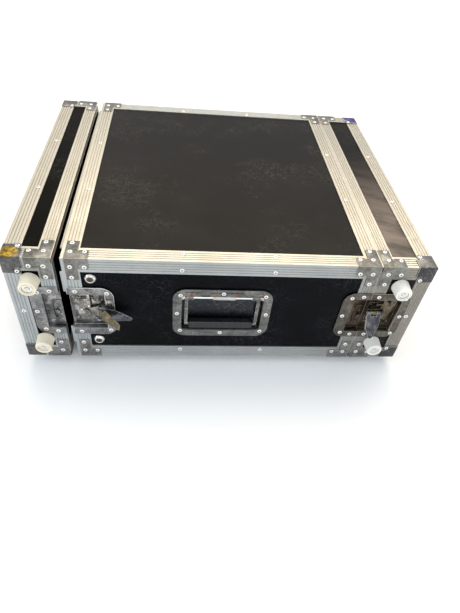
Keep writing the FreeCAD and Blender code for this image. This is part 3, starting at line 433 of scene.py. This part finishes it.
def polished(g, tone):
    """A bright rim on the outer face, and darker patches with rubbed bright patches further in."""
    depth = g.depth()
    inner = g.times(g.ramp(depth, 2 * MM, 7 * MM), g.ramp(g.noise(38.0, 7.0, 0.72), 0.40, 0.60))
    tone = g.mix(g.times(inner, 0.65), tone, (0.030, 0.029, 0.028))
    rubbed = g.times(g.ramp(g.noise(90.0, 6.0, 0.7), 0.50, 0.60), g.ramp(depth, 1 * MM, 3 * MM))
    tone = g.mix(g.times(rubbed, 0.35), tone, (0.66, 0.64, 0.60))
    return rim(g, tone, (0.85, 0.87, 0.88), 0.85)


def worked(g, tone):
    """Dark oil with rubbed bright and brownish patches between, as on a moving latch plate."""
    oil = g.ramp(g.noise(60.0, 7.0, 0.6), 0.42, 0.54)
    tone = g.mix(g.times(oil, 0.7), tone, (0.035, 0.032, 0.030))
    brown = g.times(g.ramp(g.noise(60.0, 4.0), 0.55, 0.65), 0.5)
    return g.mix(brown, tone, (0.20, 0.10, 0.06))


def old_grease(g, tone):
    """Brown dried grease in the floor of a latch, and a duller rim."""
    cover = g.times(g.ramp(g.depth(), 1.5 * MM, 8 * MM), g.ramp(g.noise(75.0, 7.0, 0.7), 0.30, 0.52))
    tone = g.mix(g.times(cover, 0.85), tone, (0.050, 0.028, 0.012))
    return rim(g, tone, (0.45, 0.42, 0.36), 0.6)


EDGE_METAL = (0.52, 0.51, 0.48)
# the edging's grime colour, which also paints the shade on the side faces towards the rear
EDGE_GRIME_AND_SHADE = (0.17, 0.14, 0.10)

# The top's film is a lighter, warmer copy of the side film, with lighter marks: painted warm light on the
# top; the side film's darker blue is painted shade on the sides and bottom.
TOP_FILM = laminate("laminate_top", (0.0040, 0.0031, 0.0025), 0.34, 0.10, 0.5, (0.26, 0.22, 0.18))
SIDE_FILM = laminate("laminate_side", (0.0014, 0.0017, 0.0022), 0.30, 0.05, 0.9, (0.10, 0.12, 0.15))
LID_FILM = laminate("laminate_lid", (0.0022, 0.0017, 0.0012), 0.36, 0.03, 0.5, (0.18, 0.16, 0.14))
# the rear lid's film, dusty and with a painted sheen towards -Y
DUST_AND_SHEEN_FILM = laminate("laminate_dust_and_sheen", (0.0030, 0.0026, 0.0024), 0.36, 0.07, 0.8, (0.24, 0.21, 0.18),
                      (0.27, 0.215, 0.18))
ALUMINIUM_ALONG_X = aluminium("edge_aluminium_long", EDGE_METAL, EDGE_GRIME_AND_SHADE, (0,))
ALUMINIUM_ACROSS = aluminium("edge_aluminium_across", EDGE_METAL, EDGE_GRIME_AND_SHADE, (1, 2))
WORN_EDGE = bright_metal("worn_edge", (0.88, 0.86, 0.82), 0.34, (0.30, 0.26, 0.20), 0.5)
DULL_EDGE = bright_metal("dull_edge", (0.42, 0.39, 0.34), 0.34, (0.12, 0.08, 0.05), 0.6)
PLATE_ZINC = zinc("plate_zinc", (0.30, 0.30, 0.285), (0.13, 0.125, 0.115), (0.05, 0.040, 0.030), 0.35)
CAP_ZINC = zinc("cap_zinc", (0.24, 0.24, 0.235), (0.09, 0.09, 0.09), (0.045, 0.038, 0.03), 0.4, 0.32,
                cap_shade_and_tape)
DISH_ZINC = zinc("dish_zinc", (0.36, 0.36, 0.36), (0.11, 0.11, 0.115), (0.05, 0.04, 0.035), 0.35, 0.30,
                 polished)
RUSTY_DISH = zinc("grimy_dish_zinc", (0.17, 0.16, 0.14), (0.08, 0.072, 0.06), (0.04, 0.025, 0.014), 0.6,
                  0.34, old_grease)
HANDLE_ZINC = zinc("handle_zinc", (0.26, 0.26, 0.25), (0.11, 0.11, 0.105), (0.06, 0.035, 0.022), 0.3,
                   0.28, handle_marks)
BAIL_ZINC = zinc("bail_zinc", (0.34, 0.33, 0.31), (0.10, 0.096, 0.09), (0.08, 0.05, 0.035), 0.3, 0.26)
WING_ZINC = zinc("wing_zinc", (0.31, 0.25, 0.14), (0.085, 0.068, 0.04), (0.09, 0.06, 0.03), 0.35, 0.28)
# painted shade and a painted dark reflection: the pointed wings take a darker, bluer copy of the wing
# metal
SHADED_WING = zinc("shaded_wing_zinc", (0.20, 0.205, 0.225), (0.035, 0.037, 0.045), (0.02, 0.018, 0.016), 0.3,
                 0.26)
HOOK_ZINC = zinc("hook_zinc", (0.66, 0.64, 0.60), (0.20, 0.18, 0.16), (0.10, 0.055, 0.03), 0.35, 0.24,
                 worked)
GREASY_ZINC = zinc("greasy_zinc", (0.20, 0.17, 0.12), (0.07, 0.055, 0.035), (0.035, 0.02, 0.01), 0.7, 0.26)
RIVET_BRIGHT = bright_metal("rivet_bright", (0.86, 0.86, 0.85), 0.28)
# the mandrel in a rivet's dimple, near black: its own metal darkened as painted shade in the hole
RIVET_STEM_SHADE = bright_metal("rivet_stem_shade", (0.06, 0.06, 0.06), 0.5, (0.02, 0.02, 0.02))
SCREW_BRIGHT = bright_metal("screw_bright", (0.80, 0.80, 0.78), 0.26)
SCREW_DARK = bright_metal("screw_dark", (0.15, 0.11, 0.085), 0.38, (0.05, 0.025, 0.012), 0.7)
RAIL_BLACK = bright_metal("rail_black", (0.035, 0.035, 0.037), 0.42, (0.3, 0.3, 0.3), 0.12)
CREAM_RUBBER = rubber("cream_rubber", (0.95, 0.86, 0.68), (0.58, 0.43, 0.26), 0.55)
WHITE_RUBBER = rubber("white_rubber", (0.95, 0.93, 0.86), (0.60, 0.55, 0.44), 0.45)
BLACK_RUBBER = rubber("black_rubber", (0.025, 0.025, 0.025), (0.12, 0.11, 0.10), 0.3, 0.7)
GRIP_RUBBER = rubber("grip_rubber", (0.009, 0.009, 0.010), (0.06, 0.06, 0.06), 0.2, 0.24)

make_camera()
make_floor()
make_light()


# ---- pieces softened from the frame -------------------------------------------------------------
def connected(bm):
    """The groups of vertices that edges join."""
    seen = set()
    found = []
    for start in bm.verts:
        if start in seen:
            continue
        seen.add(start)
        stack = [start]
        group = []
        while stack:
            vert = stack.pop()
            group.append(vert)
            for edge in vert.link_edges:
                other = edge.other_vert(vert)
                if other not in seen:
                    seen.add(other)
                    stack.append(other)
        found.append(group)
    return found


def extent(points):
    """The sides of the box around some places."""
    return [max(p[i] for p in points) - min(p[i] for p in points) for i in range(3)]


def softened(node, material, width, edge=None, segments=2, merged=True, small=None):
    """A new piece in a node's place, with its flat faces joined up and its edges rounded over; the
    rounded edges can have a brighter, worn metal of their own, and the small solids (rivets and pins)
    another. A node whose joined-up faces would close over a hole is left unmerged."""
    mesh = bpy.data.meshes.new(node + "_soft")
    bm = bmesh.new()
    bm.from_mesh(NODES[node].data)
    bmesh.ops.remove_doubles(bm, verts=bm.verts, dist=WELD)
    if merged:
        bmesh.ops.dissolve_limit(bm, angle_limit=math.radians(FLAT_ANGLE), verts=bm.verts, edges=bm.edges)
    for face in bm.faces:
        face.smooth = True
        face.material_index = 0
    if small is not None:
        for group in connected(bm):
            if max(extent([vert.co for vert in group])) < SMALL_SOLID:
                for vert in group:
                    for face in vert.link_faces:
                        face.material_index = 2
    bm.to_mesh(mesh)
    bm.free()
    mesh.materials.clear()
    mesh.materials.append(material)
    piece = bpy.data.objects.new(node + "_piece", mesh)
    bpy.context.collection.objects.link(piece)
    bevel = piece.modifiers.new("rounded", "BEVEL")
    bevel.width = width
    bevel.segments = segments
    bevel.limit_method = "ANGLE"
    bevel.angle_limit = math.radians(SHARP_ANGLE)
    bevel.harden_normals = True
    bevel.use_clamp_overlap = True
    if edge is not None:
        mesh.materials.append(edge)
        bevel.material = 1
    if small is not None:
        mesh.materials.append(small)
    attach(piece, BODY_OF[node])
    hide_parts(node)
    return piece


def painted(node, material):
    """A new material on a node whose shape stays as it is."""
    mesh = NODES[node].data
    mesh.materials.clear()
    mesh.materials.append(material)


painted("top_panel", TOP_FILM)
painted("bottom_panel", SIDE_FILM)
painted("long_edge_profiles", ALUMINIUM_ALONG_X)
painted("front_end_frame", ALUMINIUM_ACROSS)
painted("rear_end_frame", ALUMINIUM_ACROSS)
softened("body_braces", PLATE_ZINC, 0.45 * MM, DULL_EDGE)
for lid, film in (("front_lid", LID_FILM), ("rear_lid", DUST_AND_SHEEN_FILM)):
    painted(lid + "_panel", film)
    painted(lid + "_rim_panels", film)
    painted(lid + "_edge_profiles", ALUMINIUM_ACROSS)
    painted(lid + "_seam_frame", ALUMINIUM_ACROSS)
    softened(lid + "_braces", PLATE_ZINC, 0.45 * MM, DULL_EDGE)
    softened(lid + "_corner_caps", CAP_ZINC, 0.5 * MM, WORN_EDGE)
    painted(lid + "_foot_screws", SCREW_BRIGHT)
painted("front_lid_feet", CREAM_RUBBER)
painted("rear_lid_feet", WHITE_RUBBER)
softened("body_feet", BLACK_RUBBER, 0.6 * MM)
painted("body_foot_screws", SCREW_BRIGHT)
painted("rail_nuts", SCREW_BRIGHT)
painted("rail_screws", SCREW_DARK)
softened("cup_washers", SCREW_BRIGHT, 0.35 * MM)

for end, pressed, fitting, edge in (("front", DISH_ZINC, HOOK_ZINC, WORN_EDGE),
                                    ("rear", RUSTY_DISH, GREASY_ZINC, DULL_EDGE)):
    softened(end + "_latch_dishes", pressed, 0.5 * MM, edge, 3, merged=False, small=RIVET_BRIGHT)
    softened(end + "_keeper_dishes", pressed, 0.6 * MM, edge, 3, small=RIVET_BRIGHT)
    softened(end + "_latch_pivots", fitting, 0.3 * MM, edge, small=RIVET_BRIGHT)
    softened(end + "_padlock_loops", fitting, 0.35 * MM, edge)
    for side in SIDES:
        softened(f"{side}_{end}_latch_rotor", fitting, 0.45 * MM, edge)
        softened(f"{side}_{end}_slotted_wing", WING_ZINC, 0.55 * MM, WORN_EDGE)
        softened(f"{side}_{end}_pointed_wing", SHADED_WING, 0.55 * MM, WORN_EDGE)

softened("handle_dishes", HANDLE_ZINC, 0.6 * MM, DULL_EDGE, 3)
painted("handle_rods", SCREW_BRIGHT)
for side in SIDES:
    painted(side + "_side_panel", SIDE_FILM)
    painted(side + "_rack_rail", RAIL_BLACK)
    softened(side + "_handle_bail", BAIL_ZINC, 0.5 * MM, WORN_EDGE)
    softened(side + "_handle_grip", GRIP_RUBBER, 0.8 * MM, segments=3)


# ---- rivets -------------------------------------------------------------------------------------
def islands(mesh):
    """Each separate solid of a node, as its list of vertex places."""
    bm = bmesh.new()
    bm.from_mesh(mesh)
    bmesh.ops.remove_doubles(bm, verts=bm.verts, dist=WELD)
    found = [[vert.co.copy() for vert in group] for group in connected(bm)]
    bm.free()
    return found


def seat_of(group):
    """Centre of the seat, outward axis, radius and height of one rivet head."""
    low = Vector([min(p[i] for p in group) for i in range(3)])
    high = Vector([max(p[i] for p in group) for i in range(3)])
    size = high - low
    thin = min(range(3), key=lambda i: size[i])
    centre = (low + high) / 2
    middle = Vector((0, 0, MID_HEIGHT))
    outward = Vector((0, 0, 0))
    outward[thin] = 1.0 if centre[thin] > middle[thin] else -1.0
    seat = centre.copy()
    seat[thin] = low[thin] if outward[thin] > 0 else high[thin]
    return seat, outward, size[(thin + 1) % 3] / 2, size[thin]


# outlines turned about the rivet's axis: shares of its radius and height
RIVET_PROFILE = ((1.0, 0.0), (1.0, 0.24), (0.95, 0.5), (0.84, 0.78), (0.68, 0.95), (0.52, 1.0),
                 (0.42, 0.97), (0.37, 0.86), (0.35, 0.55))
STEM_PROFILE = ((0.35, 0.55), (0.3, 0.62), (0.16, 0.74), (0.0, 0.7))
STUD_PROFILE = ((1.0, 0.0), (1.0, 0.3), (0.9, 0.6), (0.65, 0.87), (0.35, 0.98), (0.0, 1.0))
# two studs on a front latch plate, wholly on it and clear of the pivot's head. Their places are
# measured from the low corner of the rotor's box.
STUD_PLACES = ((17.6 * MM, 24.3 * MM), (5.9 * MM, 16.8 * MM))
STUD_RADIUS = 1.9 * MM
STUD_HEIGHT = 1.3 * MM
PLATE_SEAT = 2.1 * MM        # from the plate's inner face, just inside its outer one
AROUND = 24                  # corners round a rivet or stud


def add_lathe(bm, profile, seat, outward, radius, height, material_index):
    """An outline turned about an axis, left open at its seat."""
    turned = outward.to_track_quat("Z", "X").to_matrix()
    rings = []
    for r, h in profile:
        ring = []
        count = 1 if r == 0 else AROUND
        for i in range(count):
            angle = 2 * math.pi * i / count
            local = Vector((r * radius * math.cos(angle), r * radius * math.sin(angle), h * height))
            ring.append(bm.verts.new(seat + turned @ local))
        rings.append(ring)
    for a, b in zip(rings, rings[1:]):
        for i in range(AROUND):
            j = (i + 1) % AROUND
            corners = [a[i], a[j], b[j], b[i]] if len(b) > 1 else [a[i], a[j], b[0]]
            face = bm.faces.new(corners)
            face.smooth = True
            face.material_index = material_index


def detailed_rivets(node):
    """Domed heads, each with a near-black stem in its dimple, the mandrel darkened as painted shade in the
    hole, in place of a node's plain rivet heads. Their sizes vary a little."""
    rng = random.Random(node)
    mesh = bpy.data.meshes.new(node + "_heads")
    bm = bmesh.new()
    for group in islands(NODES[node].data):
        seat, outward, radius, height = seat_of(group)
        radius *= rng.uniform(0.93, 1.0)
        height *= rng.uniform(0.85, 1.0)
        add_lathe(bm, RIVET_PROFILE, seat, outward, radius, height, 0)
        add_lathe(bm, STEM_PROFILE, seat, outward, radius, height, 1)
    bm.to_mesh(mesh)
    bm.free()
    mesh.materials.append(RIVET_BRIGHT)
    mesh.materials.append(RIVET_STEM_SHADE)
    piece = bpy.data.objects.new(node + "_heads", mesh)
    bpy.context.collection.objects.link(piece)
    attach(piece, BODY_OF[node])
    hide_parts(node)


def plate_studs(side):
    """Two domed studs on the raised plate of a front latch."""
    node = side + "_front_latch_rotor"
    low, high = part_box(node)
    outward = Vector((0, -1 if side == "right" else 1, 0))
    inner_face = high.y if side == "right" else low.y
    mesh = bpy.data.meshes.new(node + "_studs")
    bm = bmesh.new()
    for across, up in STUD_PLACES:
        seat = Vector((low.x + across, inner_face + outward.y * PLATE_SEAT, low.z + up))
        add_lathe(bm, STUD_PROFILE, seat, outward, STUD_RADIUS, STUD_HEIGHT, 0)
    bm.to_mesh(mesh)
    bm.free()
    mesh.materials.append(RIVET_BRIGHT)
    studs = bpy.data.objects.new(node + "_studs", mesh)
    bpy.context.collection.objects.link(studs)
    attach(studs, BODY_OF[node])


for node in ("body_rivets", "front_lid_rivets", "rear_lid_rivets"):
    detailed_rivets(node)
for side in SIDES:
    plate_studs(side)
